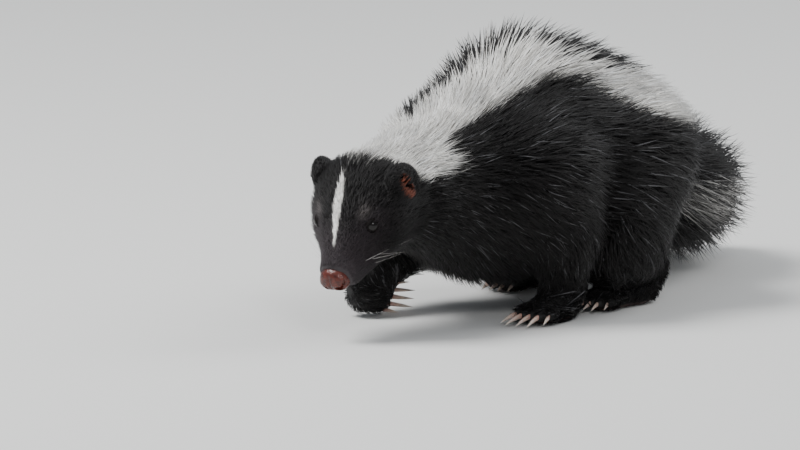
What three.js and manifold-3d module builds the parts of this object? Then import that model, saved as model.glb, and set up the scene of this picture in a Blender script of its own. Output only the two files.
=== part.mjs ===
// Striped skunk, a young animal at life size, in a low hunched walk with its head held down.
// Millimetres, +Z up. The animal faces -Y, its left side is +X, and z = 0 is the floor it stands on.
import * as THREE from "three";
import { mergeVertices } from "three/addons/utils/BufferGeometryUtils.js";
import Module from "manifold-3d";

const wasm = await Module();
wasm.setup();

const GAP = 0.36; // left between neighbouring pieces
const ROOM = 1.5 * GAP; // how far a piece is grown where it cuts its neighbour, as facets cut corners
const vec = (x, y, z) => new THREE.Vector3(x, y, z);

// Head: its pose, and its features in head axes (left, forward, up) from the middle of the braincase
const HEAD = { yaw: 3, pitch: 49, roll: 2, noseTip: vec(-7, -133, 31), noseInHead: vec(0, 49, -6) };
const EYE = { at: vec(17.4, 16.4, 5.4), radius: 4.3, opening: 3.4, hollow: 2.6, reach: 9 };
const EAR = { at: vec(26, -6.5, 7.5), radii: vec(14, 12.5, 7.5), wall: 1.8, opening: 5, faces: vec(1, 0.25, 0.05) };
const NOSE_PAD = { at: vec(0, 43, -5.5), radii: vec(9.2, 6.6, 7) };
const NOSTRIL = { at: vec(4.6, 48, -5.6), radii: vec(2.3, 3, 1.7) };
const MOUTH = { gap: 0.8, height: -13.2, corner: 17, rise: 3 };

// Trunk: outline ellipsoids with the coat, and how deep the coat is over the skin
const TRUNK = [
  { at: vec(-3, 6, 74), radii: vec(58, 52, 58), coat: vec(17, 14, 20), lift: 6 },
  { at: vec(-9, 46, 88), radii: vec(66, 58, 71), coat: vec(21, 20, 24), lift: 8 },
  { at: vec(-2, 80, 78), radii: vec(57, 41, 60), coat: vec(22, 22, 24), lift: 8 },
];
const TRUNK_BLEND = 22;
const NECK = { front: vec(0, -10, -4), rear: vec(-4, -14, 76), skin: [20, 36], coat: [8, 12] };

// Tail: points along its bone, the bone's flesh radius and the depth of its hair
const TAIL = [
  { at: vec(-1, 106, 80), flesh: 8, coat: 15 },
  { at: vec(-1, 135, 66), flesh: 7.5, coat: 23 },
  { at: vec(-4, 168, 53), flesh: 7, coat: 27 },
  { at: vec(-18, 200, 45), flesh: 6, coat: 27 },
  { at: vec(-40, 225, 34), flesh: 5, coat: 22 },
  { at: vec(-62, 236, 20), flesh: 3, coat: 13 },
];

// Legs: joints from the top down, each with its flesh radius and coat
const LEGS = {
  foreleg_left: [
    { at: vec(34, 6, 82), flesh: 24, coat: 12 },
    { at: vec(44, 11, 48), flesh: 13, coat: 8 },
    { at: vec(42, 12, 18), flesh: 8.5, coat: 4.5 },
    { at: vec(42, 6, 9), flesh: 8, coat: 1 },
  ],
  foreleg_right: [
    { at: vec(-38, -4, 80), flesh: 24, coat: 12 },
    { at: vec(-46, -4, 46), flesh: 13, coat: 8 },
    { at: vec(-50, -46, 21), flesh: 8.5, coat: 3.5 },
    { at: vec(-50, -50, 14), flesh: 8, coat: 1 },
  ],
  hindleg_left: [
    { at: vec(34, 76, 76), flesh: 30, coat: 14 },
    { at: vec(45, 58, 42), flesh: 19, coat: 11 },
    { at: vec(42, 86, 19), flesh: 9, coat: 5 },
    { at: vec(41, 78, 9), flesh: 8, coat: 1 },
  ],
  hindleg_right: [
    { at: vec(-36, 84, 76), flesh: 30, coat: 14 },
    { at: vec(-46, 74, 42), flesh: 19, coat: 11 },
    { at: vec(-42, 108, 19), flesh: 9, coat: 5 },
    { at: vec(-41, 100, 9), flesh: 8, coat: 1 },
  ],
};
const LEG_TOP = vec(0, 0, 58); // the legs are parts of their own up to this height
const SHOULDER_SHARE = 0.45; // of the upper leg, from the top, that belongs to the trunk's own outline

// Feet: the sole's two ends, the way the toes point, the back of the foot, and the side its first toe is on
const FORE_TOE = { spread: 4.1, fan: 0.11, length: 13, radius: 3.4, claw: 14, clawRadius: 1.5 };
const HIND_TOE = { spread: 3.8, fan: 0.09, length: 12, radius: 3.3, claw: 8, clawRadius: 1.3 };
const FEET = {
  forefoot_left: {
    leg: "foreleg_left", heel: vec(42, 8, 8.5), ball: vec(42, -7, 6), radii: [8.5, 7.5], toe: FORE_TOE,
    forward: vec(0.08, -1, -0.02), back: vec(0, 0, 1), firstToe: -1, ankle: 17,
  },
  forefoot_right: {
    leg: "foreleg_right", heel: vec(-50, -49, 12), ball: vec(-47.5, -43, 11.5), radii: [9, 8.5], toe: FORE_TOE,
    forward: vec(0.42, 0.86, -0.16), back: vec(0.9, -0.44, 0.05), firstToe: 1, ankle: 20,
  },
  hindfoot_left: {
    leg: "hindleg_left", heel: vec(42, 84, 8.5), ball: vec(41, 50, 6), radii: [9, 8], toe: HIND_TOE,
    forward: vec(0.02, -1, -0.02), back: vec(0, 0, 1), firstToe: -1, ankle: 18,
  },
  hindfoot_right: {
    leg: "hindleg_right", heel: vec(-42, 106, 8.5), ball: vec(-41, 72, 6), radii: [9, 8], toe: HIND_TOE,
    forward: vec(-0.02, -1, -0.02), back: vec(0, 0, 1), firstToe: 1, ankle: 18,
  },
};

// Locks of the long coat: how far apart their roots are, their size, and how high their tips stand
// in shares of the coat's depth; they grow from a core that is at most half as deep as the coat
const CORE_SHARE = 0.5;
const BODY_LOCK = { apart: 22, length: 42, width: 23, thick: 4.6, sunk: 5, tip: 1.03 };
const TAIL_LOCK = { apart: 21.5, length: 52, width: 18, thick: 4.6, sunk: 5, tip: 1.05 };
const LOCK_FLOOR = 5; // lowest height of a lock's tip
const PULL = 8; // furthest that a bend in a lock is drawn in towards the body
const COAT_EDGE = { belly: 46, fade: 22, chest: -34 }; // the long coat ends above the belly and behind the chest

// Grid steps of the faceted surfaces
const STEP = { head: 6.7, neck: 11, trunk: 13.5, tail: 12, leg: 11.5, foot: 6.5 };

// Distances to simple forms

function ellipsoid(x, y, z, c, r) {
  const a = (x - c.x) / r.x;
  const b = (y - c.y) / r.y;
  const d = (z - c.z) / r.z;
  const k0 = Math.hypot(a, b, d);
  const k1 = Math.hypot(a / r.x, b / r.y, d / r.z);
  return (k0 * (k0 - 1)) / Math.max(k1, 1e-9);
}

function roundCone(x, y, z, a, b, ra, rb) {
  const dx = b.x - a.x;
  const dy = b.y - a.y;
  const dz = b.z - a.z;
  const along = ((x - a.x) * dx + (y - a.y) * dy + (z - a.z) * dz) / (dx * dx + dy * dy + dz * dz);
  const t = Math.min(1, Math.max(0, along));
  return Math.hypot(x - a.x - t * dx, y - a.y - t * dy, z - a.z - t * dz) - (ra + (rb - ra) * t);
}

function blend(a, b, k) {
  const h = Math.min(1, Math.max(0, 0.5 + (0.5 * (b - a)) / k));
  return b + (a - b) * h - k * h * (1 - h);
}

// Head axes: a point or direction from head axes to the part's frame, and back
const radians = THREE.MathUtils.degToRad;
const headForward = vec(
  Math.sin(radians(HEAD.yaw)) * Math.cos(radians(HEAD.pitch)),
  -Math.cos(radians(HEAD.yaw)) * Math.cos(radians(HEAD.pitch)),
  -Math.sin(radians(HEAD.pitch)),
);
const level = vec(Math.cos(radians(HEAD.yaw)), Math.sin(radians(HEAD.yaw)), 0);
const headUp = headForward.clone().cross(level).normalize().applyAxisAngle(headForward, radians(HEAD.roll));
const headLeft = level.clone().applyAxisAngle(headForward, radians(HEAD.roll));
const turn = new THREE.Matrix4().makeBasis(headLeft, headForward, headUp);
const headOrigin = HEAD.noseTip.clone().sub(HEAD.noseInHead.clone().applyMatrix4(turn));
const headToFrame = turn.clone().setPosition(headOrigin);
const inFrame = (p) => p.clone().applyMatrix4(headToFrame);
const headAxes = (x, y, z) => {
  const d = vec(x, y, z).sub(headOrigin);
  return [d.dot(headLeft), d.dot(headForward), d.dot(headUp)];
};

// Surfaces of the whole animal, as distances; coat is 0 at the skin and 1 at the tips of the hair

function headShape(x, y, z, coat = 1) {
  const [l, f, u] = headAxes(x, y, z);
  const side = Math.abs(l);
  const fur = 4.5 * coat;
  let d = ellipsoid(l, f, u, vec(0, -4, -2), vec(22 + fur, 22 + fur, 16.5 + fur));
  d = blend(d, ellipsoid(side, f, u, vec(14.5, 3, -6), vec(12 + fur, 17 + fur, 13 + fur)), 12);
  d = blend(d, roundCone(l, f, u, vec(0, 12, -1), vec(0, 35, -5), 15 + 2 * coat, 10 + 0.8 * coat), 12);
  d = blend(d, roundCone(l, f, u, vec(0, 2, -14), vec(0, 33, -13), 10 + 3 * coat, 5.6 + 0.8 * coat), 8);
  d = blend(d, ellipsoid(side, f, u, vec(6, 35, -8), vec(7.2, 8.6, 6.6)), 5);
  const fromEye = Math.hypot(side - EYE.at.x, f - EYE.at.y, u - EYE.at.z) / EYE.reach;
  return d + EYE.hollow * Math.exp(-fromEye * fromEye);
}

function neckShape(x, y, z, coat = 1) {
  const rear = NECK.skin[1] + NECK.coat[1] * coat;
  return roundCone(x, y, z, inFrame(NECK.front), NECK.rear, NECK.skin[0] + NECK.coat[0] * coat, rear);
}

function trunkShape(x, y, z, coat = 1) {
  let d = Infinity;
  for (const part of TRUNK) {
    const less = 1 - coat;
    const at = vec(part.at.x, part.at.y, part.at.z - part.lift * less);
    const radii = part.radii.clone().addScaledVector(part.coat, -less);
    d = d === Infinity ? ellipsoid(x, y, z, at, radii) : blend(d, ellipsoid(x, y, z, at, radii), TRUNK_BLEND);
  }
  for (const joints of Object.values(LEGS)) d = blend(d, limb(x, y, z, shoulder(joints), coat), 14);
  return d;
}

function shoulder([top, next]) {
  const between = (a, b) => a + (b - a) * SHOULDER_SHARE;
  const end = { at: top.at.clone().lerp(next.at, SHOULDER_SHARE) };
  return [top, { ...end, flesh: between(top.flesh, next.flesh), coat: between(top.coat, next.coat) }];
}

function limb(x, y, z, joints, coat) {
  let d = Infinity;
  for (let i = 0; i + 1 < joints.length; i += 1) {
    const [a, b] = [joints[i], joints[i + 1]];
    const e = roundCone(x, y, z, a.at, b.at, a.flesh + a.coat * coat, b.flesh + b.coat * coat);
    d = d === Infinity ? e : blend(d, e, 8);
  }
  return d;
}

const tailShape = (x, y, z, coat = 1) => limb(x, y, z, TAIL, coat);

function footShape(x, y, z, foot) {
  return roundCone(x, y, z, foot.heel, foot.ball, foot.radii[0], foot.radii[1]);
}

const footAndAnkle = (x, y, z, foot) =>
  blend(limb(x, y, z, LEGS[foot.leg].slice(2), 1), footShape(x, y, z, foot), 6);

// Head, neck, trunk and tail as one flowing outline, which planes then part
function bodyShape(x, y, z, coat = 1) {
  let d = blend(trunkShape(x, y, z, coat), neckShape(x, y, z, coat), 25);
  d = blend(d, tailShape(x, y, z, coat), 18);
  return blend(d, headShape(x, y, z, coat), 10);
}

// The coat's depth in the solid under the locks: half where they grow, and whole elsewhere
function coreShare(x, y, z) {
  const belly = THREE.MathUtils.smoothstep(COAT_EDGE.belly - z, 0, COAT_EDGE.fade);
  const chest = THREE.MathUtils.smoothstep(COAT_EDGE.chest - y, -8, 8);
  const behind = THREE.MathUtils.smoothstep(y, 110, 125);
  return CORE_SHARE + (1 - CORE_SHARE) * Math.max(belly * (1 - behind), chest);
}
const coreShape = (x, y, z) => bodyShape(x, y, z, coreShare(x, y, z));

// Solids

// Head axes are a mirrored frame, so a solid that comes out of them inside out is turned round
function toManifold(geometry) {
  const vertProperties = new Float32Array(geometry.attributes.position.array);
  const triVerts = new Uint32Array(geometry.index.array);
  const made = new wasm.Manifold(new wasm.Mesh({ numProp: 3, vertProperties, triVerts }));
  if (made.volume() > 0) return made;
  return new wasm.Manifold(new wasm.Mesh({ numProp: 3, vertProperties, triVerts: triVerts.reverse() }));
}

function geometryOf(solid) {
  const { vertProperties, triVerts } = solid.getMesh();
  const geometry = new THREE.BufferGeometry();
  geometry.setAttribute("position", new THREE.Float32BufferAttribute(Array.from(vertProperties), 3));
  geometry.setIndex(Array.from(triVerts));
  return geometry;
}

function mergeable(geometry) {
  const bare = new THREE.BufferGeometry().setAttribute("position", geometry.attributes.position);
  if (geometry.index) bare.setIndex(geometry.index);
  return mergeVertices(bare, 1e-4);
}

// A closed faceted surface where shape is zero, inside the box from low to high, by one vertex in each crossed cell
function surface(shape, low, high, step) {
  const size = high.clone().sub(low).divideScalar(step).ceil().addScalar(1);
  const [nx, ny, nz] = size.toArray();
  const clipped = (x, y, z) => {
    const edge = Math.max(low.x + step - x, x - high.x + step, low.y + step - y, y - high.y + step);
    return Math.max(shape(x, y, z), edge, low.z + step - z, z - high.z + step);
  };
  const index = (i, j, k) => (k * ny + j) * nx + i;
  const point = (i, j, k) => [low.x + i * step, low.y + j * step, low.z + k * step];
  const value = new Float32Array(nx * ny * nz);
  for (let k = 0; k < nz; k += 1)
    for (let j = 0; j < ny; j += 1)
      for (let i = 0; i < nx; i += 1) value[index(i, j, k)] = clipped(...point(i, j, k));

  const corners = [0, 1, 2, 3, 4, 5, 6, 7].map((c) => [c & 1, (c >> 1) & 1, (c >> 2) & 1]);
  const edges = [];
  for (let a = 0; a < 8; a += 1) for (const bit of [1, 2, 4]) if (!(a & bit)) edges.push([a, a | bit]);
  const vertexOf = new Int32Array(nx * ny * nz).fill(-1);
  const positions = [];
  for (let k = 0; k + 1 < nz; k += 1)
    for (let j = 0; j + 1 < ny; j += 1)
      for (let i = 0; i + 1 < nx; i += 1) {
        const mean = vec(0, 0, 0);
        let crossings = 0;
        for (const [a, b] of edges) {
          const [ca, cb] = [corners[a], corners[b]];
          const va = value[index(i + ca[0], j + ca[1], k + ca[2])];
          const vb = value[index(i + cb[0], j + cb[1], k + cb[2])];
          if (va < 0 === vb < 0) continue;
          const pa = vec(...point(i + ca[0], j + ca[1], k + ca[2]));
          const pb = vec(...point(i + cb[0], j + cb[1], k + cb[2]));
          mean.add(pa.lerp(pb, va / (va - vb)));
          crossings += 1;
        }
        if (!crossings) continue;
        vertexOf[index(i, j, k)] = positions.length / 3;
        positions.push(...settle(clipped, mean.divideScalar(crossings), step).toArray());
      }

  const faces = [];
  const quad = (inside, a, b, c, d) => {
    const q = inside ? [a, b, c, d] : [a, d, c, b];
    const at = (n) => vec(...positions.slice(3 * n, 3 * n + 3));
    const split = at(q[0]).distanceTo(at(q[2])) < at(q[1]).distanceTo(at(q[3]));
    if (split) faces.push(q[0], q[1], q[2], q[0], q[2], q[3]);
    else faces.push(q[1], q[2], q[3], q[1], q[3], q[0]);
  };
  for (let k = 1; k + 1 < nz; k += 1)
    for (let j = 1; j + 1 < ny; j += 1)
      for (let i = 1; i + 1 < nx; i += 1) {
        const here = value[index(i, j, k)] < 0;
        const v = (di, dj, dk) => vertexOf[index(i + di, j + dj, k + dk)];
        if (here !== value[index(i + 1, j, k)] < 0) quad(here, v(0, -1, -1), v(0, 0, -1), v(0, 0, 0), v(0, -1, 0));
        if (here !== value[index(i, j + 1, k)] < 0) quad(here, v(-1, 0, -1), v(-1, 0, 0), v(0, 0, 0), v(0, 0, -1));
        if (here !== value[index(i, j, k + 1)] < 0) quad(here, v(-1, -1, 0), v(0, -1, 0), v(0, 0, 0), v(-1, 0, 0));
      }
  const geometry = new THREE.BufferGeometry();
  geometry.setAttribute("position", new THREE.Float32BufferAttribute(positions, 3));
  geometry.setIndex(faces);
  return toManifold(geometry);
}

const boxRound = (points, margin) => {
  const box = new THREE.Box3().setFromPoints(points).expandByScalar(margin);
  return [box.min, box.max];
};

// Moves a point onto the surface along its slope, by no more than a step
function settle(shape, p, step) {
  const start = p.clone();
  const h = 0.05;
  for (let n = 0; n < 4; n += 1) {
    const d = shape(p.x, p.y, p.z);
    const slope = gradient(shape, p, h);
    const steep = slope.lengthSq();
    if (steep < 1e-6) break;
    p.addScaledVector(slope, -d / steep);
  }
  if (p.distanceTo(start) > 0.6 * step) p.copy(start.lerp(p, (0.6 * step) / p.distanceTo(start)));
  return p;
}

function gradient(shape, p, h = 0.2) {
  return vec(
    shape(p.x + h, p.y, p.z) - shape(p.x - h, p.y, p.z),
    shape(p.x, p.y + h, p.z) - shape(p.x, p.y - h, p.z),
    shape(p.x, p.y, p.z + h) - shape(p.x, p.y, p.z - h),
  ).divideScalar(2 * h);
}

// A block that fills one side of the plane through a point, the side its normal points to
const FAR = 700;
function halfSpace(at, normal, shift = 0) {
  const n = normal.clone().normalize();
  const box = new THREE.BoxGeometry(FAR, FAR, FAR).translate(0, 0, FAR / 2);
  box.applyQuaternion(new THREE.Quaternion().setFromUnitVectors(vec(0, 0, 1), n));
  box.translate(...at.clone().addScaledVector(n, shift).toArray());
  return toManifold(mergeable(box));
}

const keepSide = (solid, at, normal) => solid.subtract(halfSpace(at, normal.clone().negate(), -GAP / 2));

// The same solid with each corner pushed out, which cuts its neighbours clear of it
function grown(solid, by) {
  const geometry = geometryOf(solid);
  geometry.computeVertexNormals();
  const { position, normal } = geometry.attributes;
  for (let i = 0; i < position.array.length; i += 1) position.array[i] += by * normal.array[i];
  return toManifold(geometry);
}

function largest(solid) {
  const bodies = solid.decompose();
  return bodies.sort((a, b) => b.volume() - a.volume())[0];
}

function ball(at, radii, turned = false, segments = [12, 8]) {
  const g = new THREE.SphereGeometry(1, ...segments).scale(radii.x, radii.y, radii.z);
  g.translate(at.x, at.y, at.z);
  if (turned) g.applyMatrix4(headToFrame);
  return toManifold(mergeable(g));
}

// A closed tapered body through rings; each ring is a centre, two half-axis vectors, and the last one may be a point
function loft(rings, sides, tip) {
  const positions = [];
  const faces = [];
  for (const ring of rings)
    for (let s = 0; s < sides; s += 1) {
      const a = (2 * Math.PI * s) / sides;
      const p = ring.at.clone().addScaledVector(ring.u, Math.cos(a)).addScaledVector(ring.v, Math.sin(a));
      positions.push(...p.toArray());
    }
  for (let r = 0; r + 1 < rings.length; r += 1)
    for (let s = 0; s < sides; s += 1) {
      const [a, b] = [r * sides + s, r * sides + ((s + 1) % sides)];
      faces.push(a, b, b + sides, a, b + sides, a + sides);
    }
  for (let s = 1; s + 1 < sides; s += 1) faces.push(0, s + 1, s);
  const last = (rings.length - 1) * sides;
  positions.push(...tip.toArray());
  for (let s = 0; s < sides; s += 1) faces.push(last + s, last + ((s + 1) % sides), rings.length * sides);
  const geometry = new THREE.BufferGeometry();
  geometry.setAttribute("position", new THREE.Float32BufferAttribute(positions, 3));
  geometry.setIndex(faces);
  return toManifold(geometry);
}

// Planes that part the body, each with its normal towards the piece on its far side
const headCut = { at: vec(-8, -86, 80), normal: vec(0, -1, 0.12) };
const neckCut = { at: vec(-4, -42, 78), normal: vec(0, -1, 0.12) };
const tailCut = { at: vec(-1, 124, 72), normal: vec(0, 1, -0.08) };
const tailSplit = { at: vec(-9, 182, 50), normal: vec(-0.35, 1, -0.35) };
const other = ({ at, normal }) => ({ at, normal: normal.clone().negate() });

const headBox = [vec(-75, -150, 5), vec(60, -70, 125)];
const neckBox = [vec(-85, -110, 5), vec(75, -20, 150)];
const trunkBox = [vec(-95, -62, 0), vec(85, 150, 178)];
const tailBox = [vec(-100, 105, 0), vec(50, 275, 130)];

// A length of the body between planes
function bodyLength(shape, box, step, planes) {
  let made = surface(shape, ...box, step);
  for (const plane of planes) made = keepSide(made, plane.at, plane.normal);
  return largest(made);
}

// Seeded random numbers from 0 to 1
function randomFrom(seed) {
  let state = seed;
  return () => {
    state = (state * 1664525 + 1013904223) % 4294967296;
    return state / 4294967296;
  };
}

// The way the hair lies on the trunk, back and a little down, and on the tail, along its bone
const trunkLie = () => vec(0, 1, -0.3);
function tailLie(p) {
  let best = Infinity;
  let lie = vec(0, 1, 0);
  for (let i = 0; i + 1 < TAIL.length; i += 1) {
    const [a, b] = [TAIL[i].at, TAIL[i + 1].at];
    const near = new THREE.Line3(a, b).closestPointToPoint(p, true, vec(0, 0, 0));
    if (near.distanceTo(p) >= best) continue;
    best = near.distanceTo(p);
    lie = b.clone().sub(a).normalize();
  }
  return lie;
}

// Roots spread evenly over a surface between planes, no two closer than apart
function rootsOn(shape, box, planes, apart, random) {
  const roots = [];
  const [low, high] = box;
  for (let tries = 0; tries < 60000; tries += 1) {
    const p = vec(random(), random(), random()).multiply(high.clone().sub(low)).add(low);
    const start = shape(p.x, p.y, p.z);
    if (Math.abs(start) > apart) continue;
    for (let n = 0; n < 3; n += 1) {
      const slope = gradient(shape, p);
      p.addScaledVector(slope, -shape(p.x, p.y, p.z) / slope.lengthSq());
    }
    if (planes.some(({ at, normal }) => p.clone().sub(at).dot(normal) < 1)) continue;
    if (roots.every((root) => root.distanceTo(p) > apart)) roots.push(p);
  }
  return roots;
}

// One flat tapered lock that follows the lie of the coat and rises from the core to the coat's outline
function makeLock(root, lie, kind, random) {
  const widths = [0.6, 1, 0.58];
  const thickness = [1, 0.8, 0.45];
  const lean = 0.5 * (random() - 0.5);
  const roll = 0.5 * (random() - 0.5);
  const length = kind.length * (0.82 + 0.36 * random());
  const tipShare = kind.tip + 0.14 * (random() - 0.5);
  const at = root.clone();
  const rings = [];
  for (let r = 0; r <= widths.length; r += 1) {
    const share = CORE_SHARE + (tipShare - CORE_SHARE) * (r / widths.length) ** 0.8;
    const out = gradient((x, y, z) => bodyShape(x, y, z, share), at).normalize();
    const along = lie(at).addScaledVector(out, -lie(at).dot(out)).normalize();
    along.applyAxisAngle(out, lean * (1 - (0.5 * r) / widths.length));
    if (r > 0) {
      at.addScaledVector(along, length / widths.length);
      const off = bodyShape(at.x, at.y, at.z, share);
      const here = gradient((x, y, z) => bodyShape(x, y, z, share), at).normalize();
      at.addScaledVector(here, off < 0 ? -off : -Math.min(off, PULL));
      at.z = Math.max(at.z, LOCK_FLOOR);
    }
    if (r === widths.length) break;
    const across = along.clone().cross(out).normalize().applyAxisAngle(along, roll);
    rings.push({
      at: r ? at.clone() : at.clone().addScaledVector(out, -kind.sunk).addScaledVector(along, -2),
      u: across.clone().multiplyScalar((kind.width / 2) * widths[r]),
      v: across.clone().cross(along).normalize().multiplyScalar((kind.thick / 2) * thickness[r]),
    });
  }
  return { rings, tip: at };
}

// The solid of a lock, made wider, thicker and longer by room where it is to cut a neighbour clear
function lockSolid({ rings, tip }, room) {
  const wider = (v) => v.clone().setLength(v.length() + room);
  const away = tip.clone().sub(rings[rings.length - 1].at).setLength(3 * room);
  return loft(rings.map(({ at, u, v }) => ({ at, u: wider(u), v: wider(v) })), 4, tip.clone().add(away));
}

// A core with its locks, and the same with room round it
function withLocks(core, roots, lie, kind, random) {
  const locks = roots.map((root) => makeLock(root, lie, kind, random));
  const joined = (solid, room) => wasm.Manifold.union([solid, ...locks.map((lock) => lockSolid(lock, room))]);
  return { made: largest(joined(core, 0)), room: joined(grown(core, ROOM), ROOM) };
}

// Head, with its mouth, lids, eyes, nose and ears

function makeEye(side) {
  const at = inFrame(vec(side * EYE.at.x, EYE.at.y, EYE.at.z));
  return ball(at, vec(EYE.radius, EYE.radius, EYE.radius), false, [12, 8]);
}

// The lids are a shell round the eye with an almond opening that looks out and a little forward
function makeLids(side) {
  const at = vec(side * EYE.at.x, EYE.at.y, EYE.at.z);
  const shell = EYE.radius + GAP;
  const cup = ball(at, vec(1, 1, 1).multiplyScalar(shell + 1.3), true);
  const look = vec(side * 0.8, 0.5, 0.3).normalize();
  const almond = new THREE.SphereGeometry(1, 12, 8).scale(EYE.radius * 0.98, EYE.opening, EYE.radius * 1.6);
  const alongLids = vec(side * -0.45, 0.85, -0.1).normalize();
  const across = look.clone().cross(alongLids).normalize();
  const basis = new THREE.Matrix4().makeBasis(across.clone().cross(look), across, look);
  almond.applyMatrix4(basis).translate(...at.clone().addScaledVector(look, shell * 0.9).toArray());
  almond.applyMatrix4(headToFrame);
  const socket = ball(at, vec(1, 1, 1).multiplyScalar(shell), true);
  return { cup, hollow: socket.add(toManifold(mergeable(almond))) };
}

// A thin curved slot from side to side, which is the line of the closed lips
function makeMouthSlot() {
  const outline = new THREE.Shape();
  const line = (f) => MOUTH.height + MOUTH.rise * ((f - 38) / (MOUTH.corner - 38)) ** 2;
  const ends = [44, 38, 31, 24, MOUTH.corner];
  ends.forEach((f, i) => (i ? outline.lineTo(f, line(f)) : outline.moveTo(f, line(f))));
  [...ends].reverse().forEach((f) => outline.lineTo(f, line(f) + MOUTH.gap));
  outline.closePath();
  const g = new THREE.ExtrudeGeometry(outline, { depth: 60, bevelEnabled: false, steps: 1 });
  // the outline's plane is forward and up, and it is pushed from side to side
  g.translate(0, 0, -30).applyMatrix4(new THREE.Matrix4().makeBasis(vec(0, 1, 0), vec(0, 0, 1), vec(1, 0, 0)));
  g.applyMatrix4(headToFrame);
  return toManifold(mergeable(g));
}

function makeHead() {
  let head = bodyLength((x, y, z) => bodyShape(x, y, z), headBox, STEP.head, [headCut]);
  for (const side of [1, -1]) {
    const { cup, hollow } = makeLids(side);
    head = head.add(cup).subtract(hollow);
  }
  head = head.subtract(makeMouthSlot());
  const padRoom = vec(GAP, GAP, GAP).add(NOSE_PAD.radii);
  head = head.subtract(ball(NOSE_PAD.at, padRoom, true, [14, 10]));
  return largest(head);
}

function makeNose() {
  let nose = ball(NOSE_PAD.at, NOSE_PAD.radii, true, [14, 10]);
  for (const side of [1, -1]) {
    const at = vec(side * NOSTRIL.at.x, NOSTRIL.at.y, NOSTRIL.at.z);
    nose = nose.subtract(ball(at, NOSTRIL.radii, true, [8, 5]));
  }
  return largest(nose);
}

// An ear is a low rounded cup that opens out and forward
function makeEar(side, headWithRoom) {
  const faces = vec(side * EAR.faces.x, EAR.faces.y, EAR.faces.z).normalize();
  const upright = vec(0, -0.25, 1).addScaledVector(faces, 0.25 * faces.y - faces.z).normalize();
  const basis = new THREE.Matrix4().makeBasis(upright.clone().cross(faces).normalize(), upright, faces);
  const bowl = (radii, shift) => {
    const g = new THREE.SphereGeometry(1, 12, 8).scale(radii.x, radii.y, radii.z).translate(0, 0, shift);
    g.applyMatrix4(basis).translate(side * EAR.at.x, EAR.at.y, EAR.at.z).applyMatrix4(headToFrame);
    return toManifold(mergeable(g));
  };
  const hollow = bowl(EAR.radii.clone().subScalar(EAR.wall), EAR.opening);
  return largest(bowl(EAR.radii, 0).subtract(hollow).subtract(headWithRoom));
}

// Legs and feet

const toeRows = [-2, -1, 0, 1, 2];

// One toe and its claw, the claw curving towards the sole
function makeToe(foot, row) {
  const { toe, ball: root } = foot;
  const forward = foot.forward.clone().normalize();
  const up = foot.back.clone().addScaledVector(forward, -foot.back.dot(forward)).normalize();
  const across = forward.clone().cross(up).normalize();
  const first = row * foot.firstToe > 1 ? 1 : 0;
  const outer = Math.abs(row) > 1 ? 1 : 0;
  const direction = forward.clone().addScaledVector(across, row * toe.fan).normalize();
  const place = (along, drop = 0) =>
    root.clone().addScaledVector(across, row * toe.spread)
      .addScaledVector(direction, along).addScaledVector(up, -drop);
  const reach = toe.length * (1 - 0.16 * outer - 0.14 * first);
  const claw = toe.claw * (1 - 0.14 * outer - 0.18 * first);
  const ring = (along, drop, radius) => ({
    at: place(along, drop),
    u: across.clone().multiplyScalar(radius),
    v: up.clone().multiplyScalar(radius),
  });
  const rings = [
    ring(-4, -0.5, toe.radius * 0.9),
    ring(reach * 0.7, 0.3, toe.radius),
    ring(reach, 1.2, toe.clawRadius),
    ring(reach + claw * 0.5, 1.4, toe.clawRadius * 0.78),
  ];
  return loft(rings, 5, place(reach + claw, 3.4));
}

const FLOOR = { at: vec(0, 0, 0), normal: vec(0, 0, 1) };
const onFloor = (solid) => solid.subtract(halfSpace(FLOOR.at, vec(0, 0, -1)));

function makeFoot(foot) {
  const shape = (x, y, z) => footAndAnkle(x, y, z, foot);
  const reach = LEGS[foot.leg].slice(2).map((joint) => joint.at).concat(foot.heel, foot.ball);
  let made = keepSide(surface(shape, ...boxRound(reach, 18), STEP.foot), vec(0, 0, foot.ankle), vec(0, 0, -1));
  for (const row of toeRows) made = made.add(makeToe(foot, row));
  return largest(onFloor(made));
}

function makeLeg(foot, neighbours) {
  const joints = LEGS[foot.leg].slice(0, 3);
  const shape = (x, y, z) => limb(x, y, z, joints, coreShare(x, y, z));
  const whole = surface(shape, ...boxRound(joints.map((joint) => joint.at), 46), STEP.leg);
  let made = keepSide(onFloor(whole), LEG_TOP, vec(0, 0, -1));
  for (const neighbour of neighbours) made = made.subtract(neighbour);
  return largest(made);
}

// Assembly

const skunk = new THREE.Group();
const black = new THREE.MeshStandardMaterial({ color: 0x14130f, roughness: 0.75, metalness: 0 });
const white = new THREE.MeshStandardMaterial({ color: 0xe9e6df, roughness: 0.8, metalness: 0 });
const eyeBlack = new THREE.MeshStandardMaterial({ color: 0x07060a, roughness: 0.08, metalness: 0 });
const noseRed = new THREE.MeshStandardMaterial({ color: 0x7c3a30, roughness: 0.35, metalness: 0 });
const earSkin = new THREE.MeshStandardMaterial({ color: 0x3a2420, roughness: 0.8, metalness: 0 });

// Corners closer than a thousandth of a millimetre become one before the largest closed surface is kept
function place(name, solid, material) {
  const welded = mergeVertices(geometryOf(solid), 1e-3);
  const mesh = new THREE.Mesh(geometryOf(largest(toManifold(welded))), material);
  mesh.name = name;
  skunk.add(mesh);
}

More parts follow.
